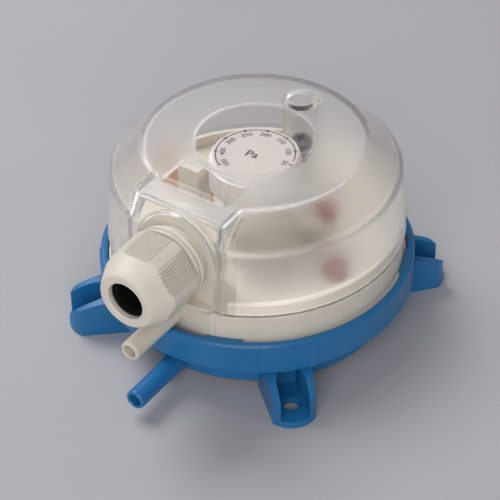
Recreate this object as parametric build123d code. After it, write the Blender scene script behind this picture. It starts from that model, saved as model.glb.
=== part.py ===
from build123d import *
import math
import os

# Round differential pressure switch, lying on its four feet.
# Millimetres. +Z is up, the cable gland and the hose tubes point along -Y.
# The origin is on the floor under the centre of the housing.

# Lower housing: a shallow cup with a wide rim, four feet and a hose tube
foot_lift = 2.8
rim_radius = 46.5
rim_height = 9.9
rim_wall = 2.2
rim_edge_rounding = 1.05
body_inset = 6.4
body_height = 9.3
body_wall = 2.2
body_floor = 1.6
body_rounding = 1.0
shelf_thickness = 2.0
snap_lug_reach = 0.7
snap_lug_height = 1.0
snap_lug_angle = 14.0
snap_lug_first_angle = 22.0

# Feet: open channels with a hole for the fixing screw
foot_count = 4
foot_first_angle = 45.0
foot_reach = 3.0
foot_hole_diameter = 4.9
foot_plate = 2.0
foot_end_radius = 7.9
foot_end_half_width = 6.2
foot_root_half_width = 7.4
foot_wall = 2.0
foot_wall_flare = 0.9
foot_channel_rounding = 2.0
foot_tip_height = 8.0
foot_crown = 0.9
foot_pad_angle = 21.0
foot_pad_proud = 0.3
foot_pad_drop = 1.2

# Hose tubes, for hose of 6 mm bore
tube_diameter = 6.0
tube_root_diameter = 6.7
tube_bore = 3.8
tube_straight = 13.0
tube_tip_rounding = 1.0
tube_lead = 0.4
lower_tube_lift = 3.6
lower_tube_length = 15.7
upper_tube_lift = 4.4
upper_tube_length = 21.4

# Diaphragm and the stiff plate on it
bead_thickness = 1.5
membrane = 0.6
diaphragm_rise = 2.0
convolution_width = 8.4
convolution_height = 1.6
plate_land = 1.0
plate_thickness = 1.6
plate_rib_count = 8
plate_rib_height = 1.4
plate_rib_width = 1.0
plate_rib_inset = 3.0
plate_hub_radius = 3.4
plate_hub_height = 4.0
seat_gap = 0.3

# Upper housing: an inverted cup whose floor carries the mechanism
upper_rim_gap = 1.0
upper_step_height = 5.4
upper_wall = 2.0
upper_chamber_height = 12.4
upper_floor = 2.0
upper_flat_depth = 1.8
upper_flat_wall = 2.6
upper_flat_side = 3.0
register_height = 3.5
register_wall = 1.8
edge_chamfer = 0.5
guide_boss_radius = 4.0
guide_boss_depth = 3.0

# Arched plate that holds the cable gland
arch_half_width = 12.7
arch_plate = 3.0
plate_set_back = 3.1
gland_lift = 13.8
gusset_thickness = 1.4
gusset_depth = 7.0
gusset_height = 9.0

# Cover
cover_lip_overhang = 0.5
cover_lip_drop = 0.1
cover_draft = 1.3
cover_cone_width = 9.9
cover_cone_height = 9.4
cover_wall = 2.0
cover_edge_rounding = 1.2
bay_side_gap = 2.9
bay_front_gap = 0.5
bay_face_draft = 2.6
arch_gap = 0.4
window_radius = 17.4
window_recess = 0.25
front_window_half_width = 11.0
front_window_start = 19.0
front_window_end = 29.0

# Cover screw in its well
screw_edge_distance = 8.9
well_radius = 5.5
well_bore_radius = 3.9
well_lift = 6.5
well_floor = 1.6
screw_radius = 2.0
screw_tip_taper = 0.8
screw_head_radius = 3.5
screw_head_height = 2.7
screw_head_rounding = 1.2
screw_slot = 0.9
screw_slot_depth = 1.6
screw_slot_half_length = 2.2
screw_tip_gap = 0.7
screw_post_radius = 4.6
screw_post_height = 6.0
insert_radius = 3.0
insert_length = 5.2

# Dial knob
dial_clearance = 4.5
dial_lift = 4.2
knob_draft = 0.7
knob_skirt_radius = 13.6
knob_skirt_height = 7.6
knob_wall = 1.6
knob_top = 2.2
knob_edge = 0.4
knob_rib_count = 60
knob_rib_depth = 0.4
knob_hub_radius = 4.8
label_inset = 0.5
label_thickness = 0.2

# Tower, spindle, nut and spring on the axis of the dial
tower_radius = 9.6
tower_wall = 1.6
tower_height = 17.0
tower_top = 2.0
tower_foot_radius = 11.6
tower_foot = 1.4
tower_rounding = 0.8
spindle_radius = 2.5
spindle_length = 15.6
spindle_collar_radius = 4.2
spindle_collar = 0.6
clip_thickness = 0.8
clip_gap = 2.4
spring_nut_height = 3.0
spring_nut_drop = 3.0
spring_nut_wing = 3.0
spring_nut_rounding = 0.6
spring_coil_radius = 5.2
spring_wire_radius = 0.5
spring_turns = 4.0
pin_radius = 1.5
pin_flange_radius = 6.9
pin_flange = 1.2
pin_flange_lift = 0.8
pin_arm_width = 3.0
running_gap = 0.08

# Switch beside the tower, in a frame turned about Z towards it
switch_angle = -48.0
switch_tower_gap = 4.9
switch_wall = 1.8
switch_wall_width = 19.0
switch_wall_height = 11.0
switch_length = 18.0
switch_thickness = 7.0
switch_height = 11.0
switch_clearance = 1.9
switch_lower_rounding = 0.8
switch_upper_rounding = 1.2
lever_thickness = 0.4
lever_width = 4.0
lever_pivot = 7.6
lever_reach = 7.2
lever_eye_radius = 0.9
lever_pin_radius = 0.45
lever_ear = 0.7
lever_ear_half_width = 1.2
lever_ear_root = 0.5
arm_offset = 5.0
plunger_radius = 0.9
plunger_offset = 3.6
plunger_length = 3.0
plunger_rounding = 0.4
switch_screw_spacing = 11.0
switch_screw_lift = 1.5
switch_screw_radius = 1.1
switch_screw_head_radius = 1.9
switch_screw_head = 1.2
switch_screw_rounding = 0.5
small_slot = 0.5
small_slot_depth = 0.6
terminal_width = 4.8
terminal_thickness = 0.8
terminal_reach = 7.0
terminal_pitch = 3.2
terminal_hole_radius = 0.8
terminal_hole_reach = 4.2
terminal_rounding = 1.0

# Calibration screws under their red caps, by distance, angle and post height
upper_cap_distance = 22.1
upper_cap_angle = 7.5
upper_cap_post = 9.4
lower_cap_wall_distance = 8.8
lower_cap_angle = -14.2
lower_cap_post = 1.6
calibration_post_radius = 2.6
calibration_cap_radius = 3.4
calibration_cap_height = 4.6
calibration_cap_wall = 0.9
calibration_cap_skirt = 1.2
calibration_cap_rounding = 0.8
calibration_screw_radius = 1.5
calibration_screw_depth = 2.2
calibration_screw_proud = 0.7

# Block and insulating card on the left of the dial
block_left = 22.0
block_width = 7.4
block_front = 8.3
block_depth = 6.0
block_height = 16.0
block_wall = 1.4
card_thickness = 1.2
card_height = 13.0
card_overhang = 11.5

# Cover seal in a groove under the cover's lip
seal_width = 1.0
seal_thickness = 1.0
seal_side_gap = 0.1
register_gap = 0.4

# Cable gland: distances run forward from the face of the arched plate
gasket_thickness = 0.5
gland_neck_radius = 9.5
gland_neck = 2.5
gland_collars = 2
gland_collar_radius = 11.2
gland_collar = 1.1
gland_collar_gap = 0.7
gland_collar_depth = 0.7
gland_collar_rounding = 0.45
gland_cup_floor = 0.8
gland_thread_radius = 9.3
gland_rear_radius = 8.3
gland_rear_length = 9.0
gland_hole_gap = 0.15
gland_front_length = 10.0
gland_bore_radius = 6.8
gland_wall = 1.4
dome_nut_gap = 1.1
dome_nut_length = 17.7
dome_nut_radius = 12.0
dome_nut_taper = 0.2
dome_nut_edge = 0.3
dome_nut_mouth_radius = 5.7
dome_nut_mouth_rounding = 0.6
dome_nut_mouth_depth = 1.8
dome_nut_face = 2.6
dome_nut_face_rounding = 1.0
dome_nut_dome = 6.9
dome_nut_shoulder = 1.8
dome_nut_shoulder_fall = 2.4
dome_nut_shoulder_rounding = 2.4
dome_nut_grips = 6
dome_nut_grip_angle = 32.0
grip_flat = 0.7
grip_grooves_per_flat = 11
grip_groove_pitch = 0.83
grip_groove_width = 0.38
grip_groove_depth = 0.45
grip_groove_reach = 0.9
seal_bore_radius = 4.6
seal_recess = 2.6
seal_nose = 0.3
seal_depth = 7.0
claw_wall = 0.9
claw_gap = 0.1
claw_flange = 0.8
claw_flange_thickness = 1.0
claw_depth = 5.0
claw_reach = 4.0
claw_slit_depth = 3.0
claw_close = 0.4
claw_fingers = 10
claw_slit = 0.8
lock_nut_flats = 20.5
lock_nut_thickness = 4.5

# Plan radii that follow from the sizes above
rim_bore = rim_radius - rim_wall
body_radius = rim_radius - body_inset
chamber_radius = body_radius - body_wall
foot_circle_radius = rim_radius + foot_reach
plate_radius = chamber_radius - convolution_width
upper_radius = rim_bore - upper_rim_gap
upper_step_radius = rim_bore - seat_gap
front_flat = upper_radius - upper_flat_depth
plate_face = front_flat - plate_set_back
cover_lip_radius = upper_radius + cover_lip_overhang
cover_lip_bore = cover_lip_radius - cover_wall
cover_shoulder_radius = cover_lip_radius - cover_draft
cover_top_radius = cover_shoulder_radius - cover_cone_width
register_radius = cover_lip_bore - register_gap
screw_distance = cover_top_radius - screw_edge_distance
bay_half_width = arch_half_width + bay_side_gap
bay_face_lip = front_flat - bay_front_gap
bay_face_top = bay_face_lip - bay_face_draft
lower_tube_reach = rim_radius + lower_tube_length
upper_tube_reach = front_flat + upper_tube_length
lower_cap_distance = register_radius - lower_cap_wall_distance
knob_top_radius = knob_skirt_radius - knob_draft
label_radius = knob_top_radius - label_inset
tower_bore = tower_radius - tower_wall
switch_wall_distance = tower_radius + switch_tower_gap
switch_face = switch_wall_distance + switch_wall
switch_middle = switch_face + switch_thickness / 2
dome_nut_front_radius = dome_nut_radius - dome_nut_taper
grip_flat_distance = dome_nut_radius - grip_flat

# Heights that follow from the sizes above
body_top = foot_lift + body_height
shelf_top = body_top + shelf_thickness
rim_top = body_top + rim_height
lower_tube_height = foot_lift + lower_tube_lift
skirt_bottom = shelf_top + bead_thickness
step_top = skirt_bottom + upper_step_height
upper_tube_height = step_top + upper_tube_lift
floor_underside = skirt_bottom + upper_chamber_height
floor_top = floor_underside + upper_floor
register_top = floor_top + register_height
gland_height = floor_top + gland_lift
membrane_height = shelf_top + bead_thickness / 2 + diaphragm_rise
plate_bottom = membrane_height + membrane / 2
flange_bottom = floor_top + pin_flange_lift
flange_top = flange_bottom + pin_flange
tower_top_height = floor_top + tower_height
spring_nut_top = tower_top_height - tower_top - spring_nut_drop
spring_nut_bottom = spring_nut_top - spring_nut_height
knob_top_height = tower_top_height + dial_lift + knob_top
cover_top_height = knob_top_height + label_thickness + dial_clearance + cover_wall
cover_shoulder_height = cover_top_height - cover_cone_height
cover_lip_height = floor_top - cover_lip_drop
screw_post_top = floor_top + screw_post_height
well_floor_height = screw_post_top + well_lift
lever_bottom = flange_top + running_gap
lever_top = lever_bottom + lever_thickness
lever_axis = lever_bottom + lever_eye_radius
switch_bottom = flange_top + switch_clearance

# Places along the gland, forward of the axis of the housing
neck_start = plate_face + gasket_thickness
collar_start = neck_start + gland_neck
collar_pitch = gland_collar + gland_collar_gap
collar_end = collar_start + gland_collars * collar_pitch - gland_collar_gap
gland_front = collar_end + gland_front_length
nut_start = collar_end + dome_nut_gap
nut_end = nut_start + dome_nut_length
grip_end = nut_end - dome_nut_dome
claw_radius = gland_thread_radius - gland_wall - claw_gap


def outline(*corners):
    """A flat face from its corners, each (x, y) or, where it is rounded, (x, y, radius)."""
    points = [corner[:2] for corner in corners]
    radii = [corner[2] if len(corner) == 3 else 0 for corner in corners]
    return make_face(FilletPolyline(*points, radius=radii, close=True))


def turned(*corners):
    """A body turned about Z from corners (radius, height) with an optional rounding."""
    return revolve(Plane.XZ * outline(*corners), Axis.Z)


def ring(outer, inner, low, high):
    """A plain ring about Z."""
    return turned((inner, low), (outer, low), (outer, high), (inner, high))


def rod(radius, low, high):
    """A plain cylinder about Z."""
    return Pos(0, 0, low) * Cylinder(radius, high - low, align=(Align.CENTER, Align.CENTER, Align.MIN))


def block(x_range, y_range, z_range):
    """A box between the given limits."""
    size = [high - low for low, high in (x_range, y_range, z_range)]
    corner = (x_range[0], y_range[0], z_range[0])
    return Pos(*corner) * Box(*size, align=(Align.MIN, Align.MIN, Align.MIN))


def sector(inner, outer, low, high, angle):
    """Part of a ring, centred on +X."""
    face = Plane.XZ * outline((inner, low), (outer, low), (outer, high), (inner, high))
    return Rot(0, 0, -angle / 2) * revolve(face, Axis.Z, angle)


def around(shape, count, first=0.0):
    """Copies of a shape, evenly spaced about Z."""
    return [Rot(0, 0, first + 360 / count * index) * shape for index in range(count)]


def facing_front(height):
    """Turns a body made about +Z to lie about -Y at this height."""
    return Pos(0, 0, height) * Rot(90, 0, 0)


def front_prism(face, near, far):
    """Extrudes a face drawn in X and Z from one distance in front of the axis to another."""
    return extrude(Plane.XZ.offset(near) * face, far - near)


def switch_frame():
    """The frame of the switch: X runs outward to it, Y along its case."""
    return Rot(0, 0, switch_angle)


def across_switch(y, z):
    """Turns a body made about +Z to lie along the switch's X, at this place on its side."""
    return Pos(0, y, z) * Rot(0, 90, 0)


def save(node, shape):
    """Writes one sub-part to its own file."""
    shape.label = node
    export_step(shape, f"parts/{node}.step")


def hose_tube(height, root, reach):
    """A hose tube along -Y that tapers to a straight, rounded end."""
    tip = tube_diameter / 2
    foot = tube_root_diameter / 2
    profile = (
        (0, root),
        (foot, root),
        (tip, reach - tube_straight),
        (tip, reach, tube_tip_rounding),
        (0, reach),
    )
    return facing_front(height) * turned(*profile)


def hose_bore(height, root, reach):
    """The bore of a hose tube, with a small lead-in at its mouth."""
    radius = tube_bore / 2
    profile = (
        (0, root),
        (radius, root),
        (radius, reach - tube_lead),
        (radius + tube_lead, reach),
        (0, reach),
    )
    return facing_front(height) * turned(*profile)


def foot_outline():
    """The plan of a foot, pointing along +X, with its rounded end."""
    root = chamber_radius
    side_end = foot_circle_radius + math.sqrt(foot_end_radius**2 - foot_end_half_width**2)
    tip = foot_circle_radius + foot_end_radius
    lines = Polyline(
        (side_end, foot_end_half_width),
        (root, foot_root_half_width),
        (root, -foot_root_half_width),
        (side_end, -foot_end_half_width),
    )
    end = ThreePointArc((side_end, -foot_end_half_width), (tip, 0), (side_end, foot_end_half_width))
    return make_face(Curve() + [lines, end])


def foot_skyline():
    """The side view of a foot: its top falls in a gentle arc from the rim to the tip."""
    tip = foot_circle_radius + foot_end_radius
    middle = ((rim_bore + tip) / 2, (body_top + foot_tip_height) / 2 + foot_crown)
    under = ((tip, foot_tip_height), (tip, 0), (chamber_radius, 0))
    corners = under + ((chamber_radius, body_top), (rim_bore, body_top))
    arc = ThreePointArc((rim_bore, body_top), middle, (tip, foot_tip_height))
    return make_face(Curve() + [Polyline(*corners), arc])


def foot_channel():
    """The open channel of a foot, a little wider towards its end."""
    wide = foot_end_half_width - foot_wall
    narrow = wide - foot_wall_flare
    far = foot_circle_radius + 2 * foot_end_radius
    face = outline(
        (body_radius, narrow),
        (rim_radius, narrow, foot_channel_rounding),
        (foot_circle_radius, wide, foot_channel_rounding),
        (far, wide),
        (far, -wide),
        (foot_circle_radius, -wide, foot_channel_rounding),
        (rim_radius, -narrow, foot_channel_rounding),
        (body_radius, -narrow),
    )
    return Pos(0, 0, foot_plate) * extrude(face, body_top)


def foot():
    """One foot: a plate with a screw hole between two walls that fall away from the rim."""
    sides = extrude(Plane.XZ * foot_skyline(), foot_root_half_width * 2, both=True)
    blank = extrude(foot_outline(), body_top) & sides
    hole = Pos(foot_circle_radius, 0) * rod(foot_hole_diameter / 2, 0, foot_plate)
    under_body = rod(body_radius - body_wall / 2, 0, body_top)
    return blank - foot_channel() - hole - under_body


def lower_housing():
    """The blue cup: pressure chamber, shelf for the diaphragm, rim, feet and hose tube."""
    cup = turned(
        (0, foot_lift),
        (body_radius, foot_lift, body_rounding),
        (body_radius, body_top, body_rounding),
        (rim_radius, body_top, body_rounding / 2),
        (rim_radius, rim_top, rim_edge_rounding),
        (rim_bore, rim_top, body_rounding / 2),
        (rim_bore, shelf_top),
        (chamber_radius, shelf_top),
        (chamber_radius, foot_lift + body_floor, body_rounding),
        (0, foot_lift + body_floor),
    )
    rim_middle = rim_radius - rim_wall / 2
    pad = sector(rim_middle, rim_radius + foot_pad_proud, body_top, rim_top - foot_pad_drop, foot_pad_angle)
    lug = sector(rim_bore - snap_lug_reach, rim_middle, step_top, step_top + snap_lug_height, snap_lug_angle)
    shape = cup + around(foot(), foot_count, foot_first_angle)
    shape += around(pad, foot_count, foot_first_angle)
    shape += around(lug, foot_count, snap_lug_first_angle)
    shape += hose_tube(lower_tube_height, chamber_radius + body_wall / 2, lower_tube_reach)
    return shape - hose_bore(lower_tube_height, chamber_radius - body_wall, lower_tube_reach)


def diaphragm():
    """The silicone membrane: a clamped bead, one rolled convolution and a flat middle."""
    bead_radius = rim_bore - seat_gap
    inner = chamber_radius - seat_gap
    half = membrane / 2
    middle = shelf_top + bead_thickness / 2
    crest = membrane_height + convolution_height
    valley = (inner + plate_radius) / 2
    land = plate_radius + plate_land
    return turned(
        (0, membrane_height - half),
        (land, membrane_height - half, membrane),
        (valley + half, crest - membrane, 2 * membrane),
        (inner, middle - half),
        (inner, shelf_top),
        (bead_radius, shelf_top),
        (bead_radius, skirt_bottom),
        (inner - half, skirt_bottom),
        (inner - half, middle + half),
        (valley, crest, 2 * membrane),
        (land - membrane, membrane_height + half, membrane),
        (0, membrane_height + half),
    )


def diaphragm_plate():
    """The stiff disc on the membrane, with ribs and a hub for the push pin."""
    top = plate_bottom + plate_thickness
    hub_top = plate_bottom + plate_hub_height
    disc = turned(
        (0, plate_bottom),
        (plate_radius, plate_bottom, edge_chamfer),
        (plate_radius, top, edge_chamfer),
        (plate_hub_radius, top),
        (plate_hub_radius, hub_top),
        (0, hub_top),
    )
    half = plate_rib_width / 2
    rib_ends = (plate_hub_radius - half, plate_radius - plate_rib_inset)
    rib = block(rib_ends, (-half, half), (top, top + plate_rib_height))
    disc += around(rib, plate_rib_count, 180 / plate_rib_count)
    return disc - rod(pin_radius, top, hub_top)


def arm_gate(near, far):
    """The slot in which the push pin's arm moves up and down, in the switch's frame."""
    half = pin_arm_width / 2 + seat_gap
    sides = (-arm_offset - half, -arm_offset + half)
    return block((near, far), sides, (floor_top, flange_top + 2 * pin_flange))


def push_pin():
    """The pin on the plate, with the spring's seat and the arm that works the switch lever."""
    pin = rod(pin_radius, plate_bottom + plate_thickness, flange_top)
    seat = rod(pin_flange_radius, flange_bottom, flange_top)
    half = pin_arm_width / 2
    reach = (pin_flange_radius / 2, switch_middle + lever_width / 2)
    arm = switch_frame() * block(reach, (-arm_offset - half, -arm_offset + half), (flange_bottom, flange_top))
    return pin + seat + arm


def spring_tower():
    """The bridge over the spring: guides the spring nut and carries the dial spindle."""
    bore = spindle_radius + running_gap
    top_underside = tower_top_height - tower_top
    shell = turned(
        (tower_bore, floor_top),
        (tower_foot_radius, floor_top),
        (tower_foot_radius, floor_top + tower_foot),
        (tower_radius, floor_top + tower_foot),
        (tower_radius, tower_top_height, tower_rounding),
        (bore, tower_top_height),
        (bore, top_underside),
        (tower_bore, top_underside),
    )
    half = spring_nut_wing / 2 + seat_gap
    slot_bottom = floor_top + tower_foot + pin_flange_lift
    slot = block((0, tower_foot_radius), (-half, half), (slot_bottom, top_underside))
    return shell - around(slot, 2, 90) - switch_frame() * arm_gate(0, 2 * tower_foot_radius)


def range_spring():
    """The coil spring between the push pin and the spring nut."""
    low = flange_top + spring_wire_radius
    height = spring_nut_bottom - spring_wire_radius - low
    path = Pos(0, 0, low) * Helix(height / spring_turns, height, spring_coil_radius)
    section = Plane(origin=path @ 0, z_dir=path % 0) * Circle(spring_wire_radius)
    return sweep(section, path=path)


def spring_nut():
    """The nut that the dial's spindle moves, held from turning by two wings in the tower's slots."""
    nut = turned(
        (spindle_radius + running_gap, spring_nut_bottom),
        (tower_bore - seat_gap, spring_nut_bottom),
        (tower_bore - seat_gap, spring_nut_top, spring_nut_rounding),
        (spindle_radius + running_gap, spring_nut_top),
    )
    half = spring_nut_wing / 2
    wing = block((spring_coil_radius, tower_radius), (-half, half), (spring_nut_bottom, spring_nut_top))
    return nut + around(wing, 2, 90)


def dial_spindle():
    """The brass spindle: threaded below, with a collar on the tower and a head in the knob."""
    high = knob_top_height - knob_top
    collar = rod(spindle_collar_radius, tower_top_height, tower_top_height + spindle_collar)
    return rod(spindle_radius, high - spindle_length, high) + collar


def spindle_clip():
    """The open retaining ring on the spindle, under the tower's top."""
    high = tower_top_height - tower_top
    low = high - clip_thickness
    clip = ring(spindle_collar_radius, spindle_radius, low, high)
    return clip - block((0, 2 * spindle_collar_radius), (-clip_gap / 2, clip_gap / 2), (low, high))


def dial_knob():
    """The white knob: a disc with a ribbed skirt and a hub on the spindle."""
    skirt_top = knob_top_height - knob_top
    bottom = skirt_top - knob_skirt_height
    bore = knob_skirt_radius - knob_wall
    shell = turned(
        (bore, bottom),
        (knob_skirt_radius, bottom),
        (knob_skirt_radius, skirt_top),
        (knob_top_radius, skirt_top + knob_edge),
        (knob_top_radius, knob_top_height, knob_edge),
        (0, knob_top_height),
        (0, skirt_top),
        (bore, skirt_top),
    )
    shell += ring(knob_hub_radius, spindle_radius, tower_top_height + spindle_collar, skirt_top)
    half = math.pi * knob_skirt_radius / knob_rib_count
    notch = Polygon((-knob_rib_depth, 0), (knob_rib_depth, -half), (knob_rib_depth, half), align=None)
    groove = Pos(knob_skirt_radius, 0, bottom) * extrude(notch, knob_skirt_height)
    return shell - around(groove, knob_rib_count)


def dial_label():
    """The printed disc, set in the middle of the knob's face."""
    return rod(label_radius, knob_top_height, knob_top_height + label_thickness)


def seal_ring(side_gap):
    """The ring under the cover's lip, made wider at both sides by a gap for its groove."""
    middle = (cover_lip_bore + upper_radius) / 2
    half = seal_width / 2 + side_gap
    return ring(middle + half, middle - half, cover_lip_height - seal_thickness, cover_lip_height)


def bay_opening(low, high):
    """The space of the bay between its walls, cut out of what the cover's lip stands on."""
    half = bay_half_width + register_gap
    return block((-half, half), (-rim_radius, -plate_face + arch_plate), (low, high))


def upper_shell():
    """The round wall, the floor and the register of the upper housing."""
    bore = upper_radius - upper_wall
    step_underside = skirt_bottom + upper_wall
    shell = turned(
        (chamber_radius, skirt_bottom),
        (upper_step_radius, skirt_bottom),
        (upper_step_radius, step_top),
        (upper_radius, step_top, seat_gap),
        (upper_radius, cover_lip_height, seat_gap),
        (register_radius, cover_lip_height),
        (register_radius, register_top - edge_chamfer),
        (register_radius - edge_chamfer, register_top),
        (register_radius - register_wall, register_top),
        (register_radius - register_wall, floor_top),
        (0, floor_top),
        (0, floor_underside),
        (bore, floor_underside, body_rounding),
        (bore, step_underside),
        (chamber_radius, step_underside),
    )
    side = arch_half_width + upper_flat_side
    flat_wall = (-upper_radius, -front_flat + upper_flat_wall)
    behind_flat = block((-side, side), flat_wall, (skirt_bottom, cover_lip_height))
    shell += behind_flat & rod(upper_radius - register_gap, skirt_bottom, cover_lip_height)
    shell += rod(guide_boss_radius, floor_underside - guide_boss_depth, floor_top)
    across = (-upper_step_radius, upper_step_radius)
    in_front = block(across, (-rim_radius, -front_flat), (0, cover_top_height))
    shell -= in_front + bay_opening(cover_lip_height, cover_top_height)
    return shell - seal_ring(seal_side_gap)


def arch_face(half_width, low):
    """The arched outline of the gland plate, drawn in X and Z."""
    left = (-half_width, gland_height)
    right = (half_width, gland_height)
    legs = Polyline(left, (-half_width, low), (half_width, low), right)
    arch = ThreePointArc(right, (0, gland_height + half_width), left)
    return make_face(Curve() + [legs, arch])


def gland_plate():
    """The arched plate with the gland's hole, and the gussets behind it."""
    back = plate_face - arch_plate
    plate = front_prism(arch_face(arch_half_width, floor_underside), back, plate_face)
    side = arch_half_width - gusset_thickness
    gusset_side = Plane.YZ * outline(
        (-back, floor_top),
        (-back + gusset_depth, floor_top),
        (-back, floor_top + gusset_height),
    )
    right = Pos(side, 0, 0) * extrude(gusset_side, gusset_thickness)
    left = Pos(-arch_half_width, 0, 0) * extrude(gusset_side, gusset_thickness)
    hole = facing_front(gland_height) * rod(gland_rear_radius + gland_hole_gap, back, plate_face)
    return plate + right + left - hole


def insert_pocket():
    """The pocket for the brass insert of the cover screw."""
    return Pos(0, screw_distance, 0) * rod(insert_radius, screw_post_top - insert_length, screw_post_top)


def screw_post():
    """The post that the cover screw goes into."""
    return Pos(0, screw_distance, 0) * rod(screw_post_radius, floor_underside, screw_post_top)


def calibration_place(lower):
    """The foot of the lower or the upper calibration post, on the floor, and the post's height."""
    distance, angle, height = (upper_cap_distance, upper_cap_angle, upper_cap_post)
    if lower:
        distance, angle, height = (lower_cap_distance, lower_cap_angle, lower_cap_post)
    return Rot(0, 0, angle) * Pos(distance, 0, floor_top), height


def calibration_post(lower):
    """A post for a calibration screw."""
    place, height = calibration_place(lower)
    return place * rod(calibration_post_radius, -upper_floor, height)


def calibration_hole(lower):
    """The hole for a calibration screw, open at the top of its post."""
    place, height = calibration_place(lower)
    return place * rod(calibration_screw_radius, height - calibration_screw_depth, height)


def at_switch_screws(shape):
    """Places a body made about +Z at both switch screws, along the switch's X."""
    height = switch_bottom + switch_height / 2 + switch_screw_lift
    half = switch_screw_spacing / 2
    return [across_switch(side * half, height) * shape for side in (-1, 1)]


def switch_screw_holes():
    """The two holes through the bracket and the switch case."""
    return at_switch_screws(rod(switch_screw_radius, switch_wall_distance, switch_face + switch_thickness))


def switch_bracket():
    """The upright wall that carries the switch case, open where the push pin's arm passes."""
    half = switch_wall_width / 2
    top = switch_bottom + switch_wall_height
    wall = block((switch_wall_distance, switch_face), (-half, half), (floor_top, top))
    wall -= arm_gate(switch_wall_distance, switch_face)
    wall -= switch_screw_holes()
    return switch_frame() * wall


def card_block():
    """The hollow block beside the dial, open to the back, where the insulating card closes it."""
    x_range = (-block_left, -block_left + block_width)
    y_range = (-block_front, -block_front + block_depth)
    body = block(x_range, y_range, (floor_top, floor_top + block_height))
    hollow = block(
        (x_range[0] + block_wall, x_range[1] - block_wall),
        (y_range[0] + block_wall, y_range[1]),
        (floor_top + block_wall, floor_top + block_height - block_wall),
    )
    return body - hollow


def upper_housing():
    """The ivory housing: one moulding with its hose tube, gland plate, posts and bracket."""
    shape = upper_shell() + gland_plate() + screw_post() + card_block()
    shape += calibration_post(False)
    shape += calibration_post(True)
    shape += switch_bracket()
    shape += hose_tube(upper_tube_height, front_flat - upper_wall, upper_tube_reach)
    shape -= hose_bore(upper_tube_height, front_flat - upper_wall - upper_flat_wall, upper_tube_reach)
    shape -= calibration_hole(False)
    shape -= calibration_hole(True)
    shape -= insert_pocket()
    return shape - rod(pin_radius + running_gap, floor_underside - guide_boss_depth, floor_top)


def insulating_card():
    """The orange-brown card that stands behind the block and reaches out to its left."""
    left = -block_left - card_overhang
    right = -block_left + block_width
    back = -block_front + block_depth
    return block((left, right), (back, back + card_thickness), (floor_top, floor_top + card_height))


def switch_case():
    """The case of the switch: rounded corners, a plunger hole, lever ears and screw holes."""
    half = switch_length / 2
    switch_top = switch_bottom + switch_height
    face = outline(
        (-half, switch_bottom, switch_lower_rounding),
        (half, switch_bottom, switch_lower_rounding),
        (half, switch_top, switch_upper_rounding),
        (-half, switch_top, switch_upper_rounding),
    )
    case = extrude(Plane.YZ.offset(switch_face) * face, switch_thickness, dir=(1, 0, 0))
    ear_length = (lever_pivot - lever_ear_half_width, lever_pivot + lever_ear_half_width)
    ear_height = (lever_axis - 2 * lever_pin_radius, switch_bottom + lever_ear_root)
    gap = lever_width / 2 + seat_gap
    for near in (-gap - lever_ear, gap):
        case += block((switch_middle + near, switch_middle + near + lever_ear), ear_length, ear_height)
    plunger_hole = rod(plunger_radius + running_gap, switch_bottom, switch_bottom + plunger_length)
    case -= Pos(switch_middle, plunger_offset, 0) * plunger_hole
    pin_hole = rod(lever_pin_radius, switch_face, switch_face + switch_thickness)
    case -= across_switch(lever_pivot, lever_axis) * pin_hole
    case -= switch_screw_holes()
    return switch_frame() * case


def switch_lever():
    """The spring steel lever under the switch, with a rolled eye on its pin."""
    low = switch_middle - lever_width / 2
    high = switch_middle + lever_width / 2
    strip = block((low, high), (-lever_reach, lever_pivot), (lever_bottom, lever_top))
    eye = rod(lever_eye_radius, low, high)
    hole = rod(lever_pin_radius + running_gap / 2, low, high)
    at_pivot = across_switch(lever_pivot, lever_axis)
    return switch_frame() * (strip + at_pivot * eye - at_pivot * hole)


def lever_pin():
    """The pin of the lever, held in the two ears."""
    reach = lever_width / 2 + seat_gap + lever_ear
    pin = rod(lever_pin_radius, switch_middle - reach, switch_middle + reach)
    return switch_frame() * across_switch(lever_pivot, lever_axis) * pin


def switch_plunger():
    """The plunger between the lever and the contacts."""
    low = lever_top + running_gap
    high = low + plunger_length
    plunger = turned((0, low), (plunger_radius, low, plunger_rounding), (plunger_radius, high), (0, high))
    return switch_frame() * Pos(switch_middle, plunger_offset, 0) * plunger


def switch_screws():
    """The two screws that hold the switch case to its bracket."""
    face = switch_face + switch_thickness
    head_top = face + switch_screw_head
    shank = rod(switch_screw_radius, switch_wall_distance, face)
    head = turned(
        (0, face),
        (switch_screw_head_radius, face),
        (switch_screw_head_radius, head_top, switch_screw_rounding),
        (0, head_top),
    )
    across = (-switch_screw_head_radius, switch_screw_head_radius)
    slot = block(across, (-small_slot / 2, small_slot / 2), (head_top - small_slot_depth, head_top))
    return Compound(children=[switch_frame() * screw for screw in at_switch_screws(shank + head - slot)])


def switch_terminal(place):
    """A blade terminal on the end of the case; place counts upward from the lowest."""
    middle = switch_bottom + switch_height / 2 + (place - 1) * terminal_pitch
    side = terminal_width / 2
    root = switch_length / 2
    tip = root + terminal_reach
    face = outline(
        (switch_middle - side, root),
        (switch_middle + side, root),
        (switch_middle + side, tip, terminal_rounding),
        (switch_middle - side, tip, terminal_rounding),
    )
    hole = Pos(switch_middle, root + terminal_hole_reach) * rod(terminal_hole_radius, 0, terminal_thickness)
    blade = extrude(face, terminal_thickness) - hole
    return switch_frame() * Pos(0, 0, middle - terminal_thickness / 2) * blade


def calibration_cap(lower):
    """A red cap pressed over a calibration post."""
    place, height = calibration_place(lower)
    low = height - calibration_cap_skirt
    high = low + calibration_cap_height
    cap = turned(
        (calibration_post_radius, low),
        (calibration_cap_radius, low, seat_gap),
        (calibration_cap_radius, high, calibration_cap_rounding),
        (0, high),
        (0, high - calibration_cap_wall),
        (calibration_post_radius, high - calibration_cap_wall),
    )
    return place * cap


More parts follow.
